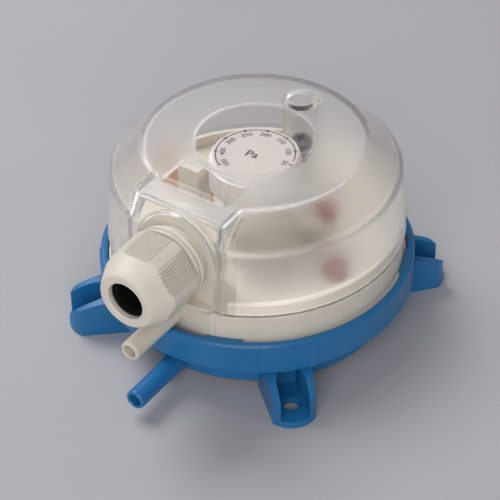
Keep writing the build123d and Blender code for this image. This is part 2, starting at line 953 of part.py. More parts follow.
def calibration_screw(lower):
    """The slotted grub screw in a calibration post."""
    place, height = calibration_place(lower)
    high = height + calibration_screw_proud
    across = (-calibration_screw_radius, calibration_screw_radius)
    slot = block(across, (-small_slot / 2, small_slot / 2), (high - small_slot_depth, high))
    return place * (rod(calibration_screw_radius, height - calibration_screw_depth, high) - slot)


def cover_seal():
    """The seal in the groove under the cover's lip, open at the bay."""
    return seal_ring(0) - bay_opening(cover_lip_height - seal_thickness, cover_lip_height)


def cover_form(inset):
    """The solid form of the cover, drawn in from its outside by a wall thickness."""
    slope = math.atan2(cover_cone_height, cover_cone_width)
    top_shift = inset * math.tan(slope / 2)
    shoulder_shift = inset * math.tan((math.pi / 2 - slope) / 2)
    top = cover_top_height - inset
    dome = turned(
        (0, cover_lip_height),
        (cover_lip_radius - inset, cover_lip_height),
        (cover_shoulder_radius - inset, cover_shoulder_height - shoulder_shift, cover_edge_rounding),
        (cover_top_radius - top_shift, top, cover_edge_rounding),
        (0, top),
    )
    half = bay_half_width - inset
    bay = block((-half, half), (-cover_lip_radius, 0), (cover_lip_height, top))
    front = Plane.YZ * outline(
        (-bay_face_lip + inset, cover_lip_height),
        (cover_lip_radius, cover_lip_height),
        (cover_lip_radius, cover_top_height),
        (-bay_face_top + inset, cover_top_height),
    )
    return (dome + bay) & extrude(front, 2 * cover_lip_radius, both=True)


def cover():
    """The clear cover: a round hood with a bay over the gland and a well for its screw."""
    shell = cover_form(0) - cover_form(cover_wall)
    arch = arch_face(arch_half_width + arch_gap, floor_underside)
    shell -= front_prism(arch, plate_face - arch_plate - cover_wall, cover_lip_radius)
    at_screw = Pos(0, screw_distance, 0)
    well_low = well_floor_height - well_floor
    shell += at_screw * rod(well_radius, well_low, cover_top_height - cover_wall / 2)
    shell -= at_screw * rod(well_bore_radius, well_floor_height, cover_top_height)
    shell -= at_screw * rod(screw_radius + arch_gap / 2, well_low, well_floor_height)
    recess = (cover_top_height - window_recess, cover_top_height)
    sides = (-front_window_half_width, front_window_half_width)
    return shell - rod(window_radius, *recess) - block(sides, (-front_window_end, -front_window_start), recess)


def cover_screw():
    """The captive pan head screw of the cover, with a cross recess."""
    head_top = well_floor_height + screw_head_height
    tip = screw_post_top - insert_length + screw_tip_gap
    screw = turned(
        (0, tip),
        (screw_radius - screw_tip_taper, tip),
        (screw_radius, tip + screw_tip_taper),
        (screw_radius, well_floor_height),
        (screw_head_radius, well_floor_height),
        (screw_head_radius, head_top, screw_head_rounding),
        (0, head_top),
    )
    across = (-screw_slot_half_length, screw_slot_half_length)
    bar = block(across, (-screw_slot / 2, screw_slot / 2), (head_top - screw_slot_depth, head_top))
    return Pos(0, screw_distance, 0) * (screw - bar - Rot(0, 0, 90) * bar)


def cover_screw_insert():
    """The brass insert in the screw post."""
    insert = ring(insert_radius, screw_radius + running_gap, screw_post_top - insert_length, screw_post_top)
    return Pos(0, screw_distance, 0) * insert


def gland_gasket():
    """The flat ring between the arched plate and the gland's neck."""
    gasket = ring(gland_neck_radius, gland_rear_radius + running_gap, plate_face, neck_start)
    return facing_front(gland_height) * gasket


def gland_body():
    """The gland's body: rear thread, neck, collars, and the tube that the dome nut screws on."""
    rear = plate_face - gland_rear_length
    cup = gland_thread_radius - gland_wall
    cup_floor = collar_end + gland_cup_floor
    inside_collar = gland_collar_radius - gland_collar_depth
    body = turned(
        (gland_bore_radius, rear),
        (gland_rear_radius, rear),
        (gland_rear_radius, neck_start),
        (gland_neck_radius, neck_start),
        (gland_neck_radius, collar_start - gland_collar_depth),
        (inside_collar, collar_start),
        (inside_collar, collar_end - gland_collar / 2),
        (gland_thread_radius, collar_end - gland_collar / 2),
        (gland_thread_radius, gland_front),
        (cup, gland_front),
        (cup, cup_floor),
        (gland_bore_radius, cup_floor),
    )
    collar = turned(
        (cup, 0),
        (gland_collar_radius, 0, gland_collar_rounding),
        (gland_collar_radius, gland_collar, gland_collar_rounding),
        (cup, gland_collar),
    )
    for index in range(gland_collars):
        body += Pos(0, 0, collar_start + index * collar_pitch) * collar
    return facing_front(gland_height) * body


def gland_claw():
    """The slit ring that the dome nut closes on the seal."""
    inner = claw_radius - claw_wall
    end = gland_front + claw_reach
    claw = turned(
        (inner, gland_front - claw_depth),
        (claw_radius, gland_front - claw_depth),
        (claw_radius, gland_front),
        (claw_radius + claw_flange, gland_front),
        (claw_radius + claw_flange, gland_front + claw_flange_thickness),
        (claw_radius - claw_close, end),
        (inner, end),
    )
    slit = block((0, 2 * claw_radius), (-claw_slit / 2, claw_slit / 2), (gland_front - claw_slit_depth, end))
    return facing_front(gland_height) * (claw - around(slit, claw_fingers))


def gland_seal():
    """The black rubber sleeve that closes on the cable."""
    outer = claw_radius - claw_wall - claw_gap
    end = nut_end - seal_recess
    seal = turned(
        (seal_bore_radius, gland_front - seal_depth),
        (outer, gland_front - seal_depth),
        (outer, gland_front + claw_reach),
        (dome_nut_mouth_radius + seal_nose, end),
        (seal_bore_radius, end, seal_nose),
    )
    return facing_front(gland_height) * seal


def grip_grooves():
    """The grooves between the ribs of one grip of the dome nut, side by side on its flat."""
    half = grip_groove_width / 2
    depth = (grip_flat_distance - grip_groove_depth, 2 * dome_nut_radius)
    groove = block(depth, (-half, half), (nut_start, grip_end + grip_groove_reach))
    first = -grip_groove_pitch * (grip_grooves_per_flat - 1) / 2
    steps = range(grip_grooves_per_flat)
    return [Pos(0, first + grip_groove_pitch * index, 0) * groove for index in steps]


def gland_dome_nut():
    """The domed nut: six ribbed flats on a round body that tapers to its rounded front."""
    thread = gland_thread_radius + running_gap
    mouth = dome_nut_mouth_radius
    face = mouth + dome_nut_face
    shoulder = (dome_nut_front_radius - dome_nut_shoulder_fall, nut_end - dome_nut_shoulder)
    nut = turned(
        (thread, nut_start),
        (dome_nut_radius, nut_start, dome_nut_edge),
        (dome_nut_front_radius, grip_end),
        (*shoulder, dome_nut_shoulder_rounding),
        (face, nut_end, dome_nut_face_rounding),
        (mouth, nut_end, dome_nut_mouth_rounding),
        (mouth, nut_end - dome_nut_mouth_depth),
        (thread - claw_wall, gland_front + claw_reach + seal_nose),
        (thread, gland_front + claw_flange_thickness),
    )
    corner = grip_flat_distance / math.cos(math.pi / dome_nut_grips)
    flats = RegularPolygon(corner, dome_nut_grips, rotation=180 / dome_nut_grips)
    nut &= Pos(0, 0, nut_start) * extrude(flats, dome_nut_length)
    for turn in range(dome_nut_grips):
        nut -= [Rot(0, 0, 360 / dome_nut_grips * turn) * groove for groove in grip_grooves()]
    return facing_front(gland_height) * Rot(0, 0, dome_nut_grip_angle) * nut


def gland_lock_nut():
    """The hexagonal nut behind the arched plate."""
    far = plate_face - arch_plate
    near = far - lock_nut_thickness
    blank = extrude(RegularPolygon(lock_nut_flats / math.sqrt(3), 6, rotation=30), lock_nut_thickness)
    hole = rod(gland_rear_radius + running_gap, near, far)
    return facing_front(gland_height) * (Pos(0, 0, near) * blank - hole)


def main():
    os.makedirs("parts", exist_ok=True)
    save("lower_housing", lower_housing())
    save("diaphragm", diaphragm())
    save("diaphragm_plate", diaphragm_plate())
    save("push_pin", push_pin())
    save("upper_housing", upper_housing())
    save("spring_tower", spring_tower())
    save("range_spring", range_spring())
    save("spring_nut", spring_nut())
    save("dial_spindle", dial_spindle())
    save("spindle_clip", spindle_clip())
    save("dial_knob", dial_knob())
    save("dial_label", dial_label())
    save("switch_case", switch_case())
    save("switch_lever", switch_lever())
    save("lever_pin", lever_pin())
    save("switch_plunger", switch_plunger())
    save("switch_screws", switch_screws())
    save("terminal_common", switch_terminal(0))
    save("terminal_normally_closed", switch_terminal(1))
    save("terminal_normally_open", switch_terminal(2))
    save("insulating_card", insulating_card())
    save("calibration_cap_upper", calibration_cap(False))
    save("calibration_cap_lower", calibration_cap(True))
    save("calibration_screws", Compound(children=[calibration_screw(False), calibration_screw(True)]))
    save("cover", cover())
    save("cover_seal", cover_seal())
    save("cover_screw", cover_screw())
    save("cover_screw_insert", cover_screw_insert())
    save("gland_gasket", gland_gasket())
    save("gland_body", gland_body())
    save("gland_claw", gland_claw())
    save("gland_seal", gland_seal())
    save("gland_dome_nut", gland_dome_nut())
    save("gland_lock_nut", gland_lock_nut())


main()
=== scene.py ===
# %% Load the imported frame
import math

import bpy
from mathutils import Matrix, Vector


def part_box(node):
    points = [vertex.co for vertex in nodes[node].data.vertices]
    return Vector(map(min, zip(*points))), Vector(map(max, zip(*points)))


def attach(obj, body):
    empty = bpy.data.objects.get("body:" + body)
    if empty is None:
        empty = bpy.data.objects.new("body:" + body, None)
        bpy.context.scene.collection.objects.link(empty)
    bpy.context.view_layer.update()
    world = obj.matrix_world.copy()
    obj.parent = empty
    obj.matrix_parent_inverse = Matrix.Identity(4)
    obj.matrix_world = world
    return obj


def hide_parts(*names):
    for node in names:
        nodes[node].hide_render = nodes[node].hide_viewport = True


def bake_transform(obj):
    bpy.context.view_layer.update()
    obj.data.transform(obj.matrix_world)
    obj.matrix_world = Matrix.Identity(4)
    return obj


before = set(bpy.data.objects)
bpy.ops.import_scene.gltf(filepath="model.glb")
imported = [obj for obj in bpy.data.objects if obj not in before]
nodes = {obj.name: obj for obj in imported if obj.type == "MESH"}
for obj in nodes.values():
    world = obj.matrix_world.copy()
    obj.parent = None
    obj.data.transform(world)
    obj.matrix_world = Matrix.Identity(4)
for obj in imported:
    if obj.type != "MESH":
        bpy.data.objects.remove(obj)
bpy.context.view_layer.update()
MM = 0.001
print("pieces in the frame:", len(nodes))


# %% [markdown]
# # Shader maths as plain Python
# A finish is a small network of nodes. Wiring each sum by hand takes many lines and hides the idea. So one small
# class wraps a socket and teaches it plus, minus, times and the comparisons: `1 - mask` then adds its own Math node.
# A second class holds the material and has one method that adds any other node. Numbers alone stay in Python, and
# colours go through a Mix node, because a Math node would turn them grey.

# %% A socket that can be added, multiplied and compared
class Socket:
    """One output of a shader node, in the material that holds it."""

    def __init__(self, paint, socket):
        self.paint = paint
        self.socket = socket

    def maths(self, operation, *values):
        return self.paint.node("ShaderNodeMath", {"operation": operation}, dict(enumerate(values)))

    def __add__(self, other):
        return self.maths("ADD", self, other)

    def __sub__(self, other):
        return self.maths("SUBTRACT", self, other)

    def __rsub__(self, other):
        return self.maths("SUBTRACT", other, self)

    def __mul__(self, other):
        return self.maths("MULTIPLY", self, other)

    def __pow__(self, other):
        return self.maths("POWER", self, other)

    def __lt__(self, other):
        return self.maths("LESS_THAN", self, other)

    def __gt__(self, other):
        return self.maths("GREATER_THAN", self, other)

    def __abs__(self):
        return self.maths("ABSOLUTE", self)

    __radd__ = __add__


# %% A material that grows one call at a time
EDGE_LIKENESS = 0.75


class Paint:
    """A material with a Principled surface, and one method that adds every other node."""

    def __init__(self, name, colour, roughness, **fixed):
        self.material = bpy.data.materials.new(name)
        self.material.use_nodes = True
        self.material.diffuse_color = (*colour, 1)
        self.tree = self.material.node_tree
        self.surface = self.tree.nodes["Principled BSDF"]
        self.output = self.tree.nodes["Material Output"]
        self.set("Base Color", (*colour, 1))
        self.set("Roughness", roughness)
        for socket, value in fixed.items():
            self.set(socket.replace("_", " "), value)

    def set(self, name, value):
        self.feed(self.surface.inputs[name], value)

    def feed(self, target, value):
        if isinstance(value, Socket):
            self.tree.links.new(value.socket, target)
        else:
            target.default_value = value

    def node(self, kind, settings=None, inputs=None, output=0):
        made = self.tree.nodes.new(kind)
        for name, value in (settings or {}).items():
            setattr(made, name, value)
        for key, value in (inputs or {}).items():
            self.feed(made.inputs[key], value)
        return Socket(self, made.outputs[output])

    def place(self):
        """The place on the piece, in millimetres, as a vector."""
        spot = self.node("ShaderNodeTexCoord", output="Object")
        return self.node("ShaderNodeVectorMath", {"operation": "SCALE"}, {0: spot, "Scale": 1 / MM})

    def axes(self, spot):
        """The three numbers of a vector."""
        split = self.node("ShaderNodeSeparateXYZ", inputs={0: spot}).socket.node
        return [Socket(self, split.outputs[axis]) for axis in range(3)]

    def noise(self, spot, size, detail=2.0, roughness=0.5):
        """Soft noise from 0 to 1, whose lumps are about this many millimetres across."""
        values = {"Vector": spot, "Scale": 1 / size, "Detail": detail, "Roughness": roughness}
        return self.node("ShaderNodeTexNoise", inputs=values)

    def spread(self, value, low, high):
        """Stretches the middle of a noise to run from low to high."""
        limits = {"Value": value, "From Min": 0.3, "From Max": 0.7, "To Min": low, "To Max": high}
        return self.node("ShaderNodeMapRange", inputs=limits)

    def mix(self, factor, first, second):
        """A colour between two colours."""
        settings = {"data_type": "RGBA"}
        return self.node("ShaderNodeMix", settings, {0: factor, 6: first, 7: second}, output=2)

    def bump(self, height, depth, normal=None):
        """Tilts the surface as a relief of this many millimetres would."""
        values = {"Distance": depth * MM, "Height": height}
        if normal is not None:
            values["Normal"] = normal
        self.set("Normal", self.node("ShaderNodeBump", inputs=values))

    def edges(self, radius):
        """The normal with its edges rounded by this many millimetres, and how near an edge is, from 0 to 1."""
        rounded = self.node("ShaderNodeBevel", {"samples": 4}, {"Radius": radius * MM})
        true = self.node("ShaderNodeNewGeometry", output="Normal")
        likeness = self.node("ShaderNodeVectorMath", {"operation": "DOT_PRODUCT"}, {0: rounded, 1: true}, "Value")
        limits = {"Value": likeness, "From Min": 1.0, "From Max": EDGE_LIKENESS, "To Min": 0.0, "To Max": 1.0}
        return rounded, self.node("ShaderNodeMapRange", inputs=limits)

    def stretched(self, spot, factors):
        """The place with each axis scaled, so that a noise runs into streaks along the axes with small factors."""
        return self.node("ShaderNodeVectorMath", {"operation": "MULTIPLY"}, {0: spot, 1: factors})


# %% [markdown]
# # Moulded plastic
# The housings, the gland and the knob are injection moulded. Such a surface is never one flat colour: the pigment
# is a little uneven, the tool leaves a fine spark-eroded grain, and handling polishes it in patches. Three noises at
# three sizes give that: a broad one for colour, a middle one for gloss, and a fine one for the grain. They read the
# place in millimetres, so the grain has its real size on every piece. Real edges are rounded a little and catch the
# light, so the shading rounds them, and a painted highlight makes the colour a little lighter there. Where two
# slides of the tool met, a fine line runs down the wall.

# %% One recipe for every moulded piece
def shade(colour, factor):
    """A colour made darker or lighter, with its fourth number for a socket."""
    return (*[min(1.0, channel * factor) for channel in colour], 1)


def tool_line(paint, spot, angle, half_width=0.09):
    """1 on an upright line at this angle about Z, and 0 elsewhere."""
    x, y = paint.axes(spot)[:2]
    turn = math.radians(angle)
    aside = abs(y * math.cos(turn) - x * math.sin(turn)) < half_width
    return aside * (x * math.cos(turn) + y * math.sin(turn) > 0)


CLOUD_SIZE = 16
GLOSS_SIZE = 5
GLOSS_RANGE = (-0.05, 0.07)
EDGE_ROUNDING = 0.3
EDGE_HIGHLIGHT_SHARE = 0.5
EDGE_HIGHLIGHT_SHADE = 1.4
LINE_SHARE = 0.6
LINE_SHADE = 0.6


def moulded(name, colour, roughness, grain_size=0.35, grain_depth=0.012, uneven=0.05, line=None, **fixed):
    """A moulded finish; line is the angle of the tool's parting line, if the piece shows one."""
    paint = Paint(name, colour, roughness, **fixed)
    spot = paint.place()
    cloud = paint.spread(paint.noise(spot, CLOUD_SIZE, detail=3), 0, 1)
    pigment = paint.mix(cloud, shade(colour, 1 - uneven), shade(colour, 1 + uneven))
    rounded, edge = paint.edges(EDGE_ROUNDING)
    # painted highlight: the colour is lighter near edges, standing in for the light that rounded edges catch
    pigment = paint.mix(edge * EDGE_HIGHLIGHT_SHARE, pigment, shade(colour, EDGE_HIGHLIGHT_SHADE))
    if line is not None:
        seam = tool_line(paint, spot, line)
        pigment = paint.mix(seam * LINE_SHARE, pigment, shade(colour, LINE_SHADE))
    paint.set("Base Color", pigment)
    gloss = paint.noise(spot, GLOSS_SIZE, detail=4)
    paint.set("Roughness", paint.spread(gloss, roughness + GLOSS_RANGE[0], roughness + GLOSS_RANGE[1]))
    grain = paint.noise(spot, grain_size, detail=3, roughness=0.6)
    paint.bump(grain, grain_depth, normal=rounded)
    return paint


BLUE = (0.016, 0.175, 0.430)
IVORY = (0.75, 0.70, 0.615)
GLAND_WHITE = (0.85, 0.79, 0.695)
WHITE = (0.82, 0.78, 0.76)
CAP_RED = (0.25, 0.026, 0.008)
SWITCH_BROWN = (0.36, 0.31, 0.235)
LOWER_PARTING = -55
UPPER_PARTING = -71.5
blue = moulded("blue_plastic", BLUE, 0.32, line=LOWER_PARTING, IOR=1.5)
ivory = moulded("ivory_plastic", IVORY, 0.44, line=UPPER_PARTING)
gland_white = moulded("gland_plastic", GLAND_WHITE, 0.40)
white = moulded("white_plastic", WHITE, 0.42)
red = moulded("red_plastic", CAP_RED, 0.42)
dark = moulded("dark_plastic", SWITCH_BROWN, 0.45)
print("moulded finishes:", [paint.material.name for paint in (blue, ivory, gland_white, white, red, dark)])


# %% [markdown]
# # Rubber and silicone
# The seals are matt and soft, so they are rougher than any moulding and their grain is coarser. The diaphragm's
# silicone lets a little light in, which subsurface scattering gives. The insulating card is pressed fibre: matt, with
# a coarser grain and more uneven colour. All four start from the recipe for mouldings and change its numbers.

# %% Soft finishes
RUBBER_BLACK = (0.005, 0.005, 0.005)
MEMBRANE = (0.42, 0.36, 0.30)
PALE_SEAL = (0.74, 0.70, 0.63)
CARD_BROWN = (0.60, 0.36, 0.23)
seal_rubber = moulded("seal_rubber", RUBBER_BLACK, 0.85, grain_size=0.6, grain_depth=0.03, Specular_IOR_Level=0.15)
silicone = moulded("silicone", MEMBRANE, 0.5, grain_size=0.8, Subsurface_Weight=0.3, Subsurface_Scale=0.002)
pale_silicone = moulded("pale_silicone", PALE_SEAL, 0.5, grain_size=0.8)
card = moulded("card", CARD_BROWN, 0.7, grain_size=0.5, grain_depth=0.04, uneven=0.12)
print("soft finishes:", [paint.material.name for paint in (seal_rubber, silicone, pale_silicone, card)])


# %% [markdown]
# # Turned and stamped metal
# Metal shows how it was cut. Lathe work leaves fine rings, which a stretched noise gives, and stamped strip has a
# slight scratch along its length. Plating is a little blotchy, so the colour follows a second noise.

# %% Metals
SCRATCH_SIZE = 1.4
SCRATCH_DEPTH = 0.01
SCRATCH_GLOSS = (-0.08, 0.12)
BLOTCH_SIZE = 2.5
BLOTCH_SHADES = (0.86, 1.06)
RINGS = (1, 1, 12)
LENGTHWISE = (12, 1, 1)
STEEL = (0.50, 0.50, 0.51)
DARK_ZINC = (0.20, 0.20, 0.215)
BRASS = (0.66, 0.47, 0.20)
TIN = (0.68, 0.62, 0.52)


def metal(name, colour, roughness, stretch=RINGS):
    """A metal finish, whose scratches run along the axes where stretch is small."""
    paint = Paint(name, colour, roughness, Metallic=1.0)
    spot = paint.place()
    scratch = paint.noise(paint.stretched(spot, stretch), SCRATCH_SIZE, detail=4, roughness=0.7)
    blotch = paint.spread(paint.noise(spot, BLOTCH_SIZE, detail=3), 0, 1)
    darker, lighter = [shade(colour, factor) for factor in BLOTCH_SHADES]
    paint.set("Base Color", paint.mix(blotch, darker, lighter))
    paint.set("Roughness", paint.spread(scratch, roughness + SCRATCH_GLOSS[0], roughness + SCRATCH_GLOSS[1]))
    paint.bump(scratch, SCRATCH_DEPTH)
    return paint


steel = metal("steel", STEEL, 0.34)
zinc = metal("dark_zinc", DARK_ZINC, 0.40)
brass = metal("brass", BRASS, 0.32)
tin = metal("tinned_terminal", TIN, 0.48, stretch=LENGTHWISE)
print("metals:", [paint.material.name for paint in (steel, zinc, brass, tin)])


# %% [markdown]
# # The clear and frosted cover
# The cover is one moulding of polycarbonate. It is smooth outside. Inside, its tool was blasted, save where the
# installer looks in: over the dial, over the switch's setting block, round the bay and along the lip. The bay's top,
# the corners beside it and the well of the screw were only half polished. So the cover is one material, whose
# roughness is high only on the blasted inner faces. Two clear sheets, one rough and one smooth, could do the same,
# but they would have to be cut along every field. Here each field is a sum of comparisons on the place.

# %% Where the cover is polished
WINDOW_RADIUS = 17.4
WINDOW_HEIGHT = 57.0
FRONT_WINDOW_HALF = 11.0
FRONT_WINDOW_START = 19.0
FRONT_WINDOW_END = 30.5
BAND_HEIGHT = 34.7
BAY_HALF = 15.9
BAY_START = 29.0
BAY_PLATE_END = 36.6
CORNER_HALF = 18.5
CORNER_START = 33.0
CORNER_HEIGHT = 50.0
WELL_PLACE = 23.7
WELL_RADIUS = 5.6


def polished_fields(x, y, z):
    """1 where the cover's tool was polished, and 0 where it was blasted."""
    radius = (x * x + y * y) ** 0.5
    top = z > WINDOW_HEIGHT
    round_window = (radius < WINDOW_RADIUS) * top
    front_window = (abs(x) < FRONT_WINDOW_HALF) * (y < -FRONT_WINDOW_START) * (y > -FRONT_WINDOW_END) * top
    band = z < BAND_HEIGHT
    bay = (abs(x) < BAY_HALF) * (y < -BAY_START) * (z < WINDOW_HEIGHT)
    bay_front = (abs(x) < BAY_HALF) * (y < -BAY_PLATE_END)
    return round_window + front_window + band + bay + bay_front > 0.5


def half_polished(x, y, z):
    """Three fields of the tool that were polished less: beside the bay, on its top, and in the well."""
    corner = (abs(x) < CORNER_HALF) * (y < -CORNER_START) * (z < CORNER_HEIGHT)
    bay_top = (abs(x) < BAY_HALF) * (y < -BAY_START) * (y > -BAY_PLATE_END) * (z > WINDOW_HEIGHT)
    across = y - WELL_PLACE
    well = (x * x + across * across) ** 0.5 < WELL_RADIUS
    return corner, bay_top, well


# %% [markdown]
# # Inside or outside
# The cover's inner and outer faces share one mesh, so the material has to tell them apart. Backfacing can't: a ray
# that looks in meets the outer face from outside and the inner face from inside the plastic, but from below it is the
# other way round. So the place decides again. The outer form is a wall with a little draft, a cone and a flat top,
# each given by its radius and height at the ends. A point belongs to an inner face where it lies deeper than half the
# wall under that form.

# %% Depth under the outer form
LIP = (43.8, 29.9)
SHOULDER = (42.5, 50.7)
TOP = (32.6, 60.1)
HALF_WALL = 1.0
FAR_INSIDE = 50.0


def depth_outside(x, y, z):
    """How far a point lies outside the cover's outer form, in millimetres; it is negative inside."""
    radius = (x * x + y * y) ** 0.5
    draft = (LIP[0] - SHOULDER[0]) / (SHOULDER[1] - LIP[1])
    wall = radius - LIP[0] + (z - LIP[1]) * draft
    slope = math.atan2(TOP[1] - SHOULDER[1], SHOULDER[0] - TOP[0])
    cone = (radius - SHOULDER[0]) * math.sin(slope) + (z - SHOULDER[1]) * math.cos(slope)
    in_bay = (abs(x) < BAY_HALF) * (y < -BAY_START)
    sides = wall.maths("MAXIMUM", wall, cone) * (1 - in_bay) - in_bay * FAR_INSIDE
    return wall.maths("MAXIMUM", sides, z - TOP[1])


# %% [markdown]
# # Frost, haze and shadow
# A blasted face blurs what lies behind it, and the roughness of the transmission gives that. It also scatters a
# little light, which a thin share of diffuse gives, with a fine grain in it. The wall has more of it than the top.
# The bay's top has streaks from side to side, where the tool was wiped. Rounded edges look milky, so they get some
# diffuse too. A shadow ray sees a plain tinted sheet, or the inside would stay dark.

# %% The cover's material
CLEAR = (0.96, 0.955, 0.955, 1)
SHADE_TINT = (0.78, 0.775, 0.79, 1)
HAZE = (0.92, 0.905, 0.92, 1)
SHADOW_SHEET = (0.90, 0.895, 0.89, 1)
EDGE_RADIUS = 1.4
EDGE_MILK = 0.55
SMOOTH = 0.03
FROST = (0.33, 0.40)
FROST_PATCH = 9
RIPPLE_SIZE = 0.7
RIPPLE_DEPTH = 0.06
GRAIN_SIZE = 0.45
GRAIN_MILK = (0.02, 0.15)
WALL_MILK = 1.3
STREAK_SIZE = 1.0
STREAK_STRETCH = (0.03, 1, 1)
STREAK_MILK = (0.10, 0.45)
CORNER_POLISH = 0.35
BAY_TOP_POLISH = 0.2
WELL_POLISH = 0.75


def cover_material():
    """One glass material, whose frost and milk follow the place."""
    paint = Paint("clear_cover", CLEAR[:3], SMOOTH, IOR=1.5, Transmission_Weight=1.0)
    spot = paint.place()
    x, y, z = paint.axes(spot)
    inner = depth_outside(x, y, z) < -HALF_WALL
    corner, bay_top, well = half_polished(x, y, z)
    softer = corner * CORNER_POLISH + bay_top * BAY_TOP_POLISH + well * WELL_POLISH
    blasted = (1 - polished_fields(x, y, z)) * inner * (1 - softer)
    on_wall = z < SHOULDER[1]
    frosted = paint.spread(paint.noise(spot, FROST_PATCH), *FROST)
    paint.set("Roughness", blasted * frosted + SMOOTH)
    # painted shade: a grey transmission tint darkens the blasted faces above the shoulder and the inner corners
    # beside the bay
    painted_shade = blasted * (1 - on_wall) + corner * inner
    paint.set("Base Color", paint.mix(painted_shade, CLEAR, SHADE_TINT))
    rounded, edge = paint.edges(EDGE_RADIUS)
    paint.bump(paint.noise(spot, RIPPLE_SIZE) * blasted, RIPPLE_DEPTH, normal=rounded)
    grain = paint.spread(paint.noise(spot, GRAIN_SIZE, detail=1), *GRAIN_MILK)
    drawn = paint.stretched(spot, STREAK_STRETCH)
    streaks = paint.spread(paint.noise(drawn, STREAK_SIZE, detail=1), *STREAK_MILK)
    scattered = grain * (1 + on_wall * WALL_MILK) * blasted + streaks * bay_top * inner
    milk = scattered.maths("MAXIMUM", scattered, edge * EDGE_MILK)
    haze = paint.node("ShaderNodeBsdfDiffuse", inputs={"Color": HAZE})
    glass = Socket(paint, paint.surface.outputs[0])
    body = paint.node("ShaderNodeMixShader", inputs={0: milk, 1: glass, 2: haze})
    shadow = paint.node("ShaderNodeLightPath", output="Is Shadow Ray")
    sheet = paint.node("ShaderNodeBsdfTransparent", inputs={"Color": SHADOW_SHEET})
    seen = paint.node("ShaderNodeMixShader", inputs={0: shadow, 1: body, 2: sheet})
    paint.tree.links.new(seen.socket, paint.output.inputs["Surface"])
    return paint


clear = cover_material()
print("nodes in the cover's material:", len(clear.tree.nodes))


# %% [markdown]
# # Which piece wears which finish
# Every CAD node keeps its own mesh where its shape is right, and only gets a finish. The table runs from finish to
# nodes, so a finish can be changed in one place. The dial's label gets its own further on, with its printing.

# %% Finishes by node
FINISHES = {
    blue: ["lower_housing"],
    ivory: ["upper_housing"],
    clear: ["cover"],
    white: ["dial_knob", "spring_tower", "spring_nut", "push_pin", "diaphragm_plate"],
    gland_white: ["gland_body", "gland_dome_nut", "gland_lock_nut", "gland_claw"],
    seal_rubber: ["gland_seal"],
    silicone: ["diaphragm"],
    pale_silicone: ["cover_seal", "gland_gasket"],
    dark: ["switch_case"],
    red: ["calibration_cap_upper", "calibration_cap_lower", "switch_plunger"],
    card: ["insulating_card"],
    steel: ["range_spring", "switch_lever", "lever_pin", "spindle_clip", "switch_screws", "calibration_screws"],
    zinc: ["cover_screw"],
    brass: ["dial_spindle", "cover_screw_insert"],
    tin: ["terminal_common", "terminal_normally_closed", "terminal_normally_open"],
}


def wear(piece, paint):
    """Gives a piece one finish."""
    piece.data.materials.clear()
    piece.data.materials.append(paint.material)


for paint, names in FINISHES.items():
    for name in names:
        wear(nodes[name], paint)
print("nodes with a finish:", sum(len(names) for names in FINISHES.values()))


# %% [markdown]
# # The printed dial
# The disc on the knob is printed with a scale: an open ring line with a tick at each value, and the values inside
# it, each turned to face the rim. An image would blur near by, and a pattern of nodes can hardly write numbers. So
# ring and ticks are thin flat strips and the numbers are text turned to mesh, all a hair above the disc. They ride
# with the dial. The middle says only Pa, the unit.

# %% The disc and its printing
LABEL_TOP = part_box("dial_label")[1].z / MM
PRINT_LIFT = 0.03
RING_RADIUS = 11.5
RING_WIDTH = 0.34
RING_START = 14
RING_END = 238
TICK_LENGTH = 1.3
TICK_HALF_ANGLE = 1.2
SCALE_VALUES = (50, 100, 150, 200, 250, 300, 400, 500)
SCALE_FIRST = 5.0
SCALE_STEP = 33.6
PAPER = (0.64, 0.585, 0.56)
INK = (0.03, 0.03, 0.035)
INK_PATCH = 0.8
INK_GLOSS = (0.5, 0.7)
paper = moulded("label_print", PAPER, 0.5, grain_size=0.5, grain_depth=0.006, uneven=0.02)
wear(nodes["dial_label"], paper)
ink = Paint("ink", INK, 0.6)
ink.set("Roughness", ink.spread(ink.noise(ink.place(), INK_PATCH), *INK_GLOSS))


def new_piece(name, corners, faces, paint):
    """A mesh from corners in millimetres."""
    mesh = bpy.data.meshes.new(name)
    mesh.from_pydata([[value * MM for value in corner] for corner in corners], [], faces)
    mesh.update()
    piece = bpy.data.objects.new(name, mesh)
    bpy.context.scene.collection.objects.link(piece)
    wear(piece, paint)
    return piece


def arc_strip(radius, width, first, last, height, steps=120):
    """Corners and faces of a flat strip that follows an arc about Z."""
    corners, faces = [], []
    for step in range(steps + 1):
        angle = math.radians(first + (last - first) * step / steps)
        for reach in (radius - width / 2, radius + width / 2):
            corners.append((reach * math.cos(angle), reach * math.sin(angle), height))
    for step in range(steps):
        start = 2 * step
        faces.append((start, start + 1, start + 3, start + 2))
    return corners, faces


def value_angle(index):
    """The angle of a scale value about the dial's axis."""
    return SCALE_FIRST + SCALE_STEP * index


def ring_and_ticks():
    """The scale's line and its ticks as one flat mesh."""
    height = LABEL_TOP + PRINT_LIFT
    corners, faces = arc_strip(RING_RADIUS, RING_WIDTH, RING_START, RING_END, height)
    for index in range(len(SCALE_VALUES)):
        first, last = value_angle(index) - TICK_HALF_ANGLE, value_angle(index) + TICK_HALF_ANGLE
        tick, sides = arc_strip(RING_RADIUS, TICK_LENGTH, first, last, height, steps=2)
        faces += [tuple(corner + len(corners) for corner in side) for side in sides]
        corners += tick
    return new_piece("dial_scale_line", corners, faces, ink)


scale_line = ring_and_ticks()
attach(scale_line, "dial")
print("faces in the scale's line:", len(scale_line.data.polygons))


# %% [markdown]
# # Numbers on the scale
# Each value is a text curve of its own, because each is turned by its own angle. Pose and export work on meshes, so
# the curve is turned to a mesh at once and then dropped. The letters are a little bolder than the font, as printed
# ink spreads.

# %% Numbers as flat meshes
VALUE_RADIUS = 9.4
VALUE_SIZE = 2.3
UNIT_SIZE = 4.2
UNIT_PLACE = (-0.6, -0.9)
UNIT_TURN = 8.2
BOLDNESS = 0.012


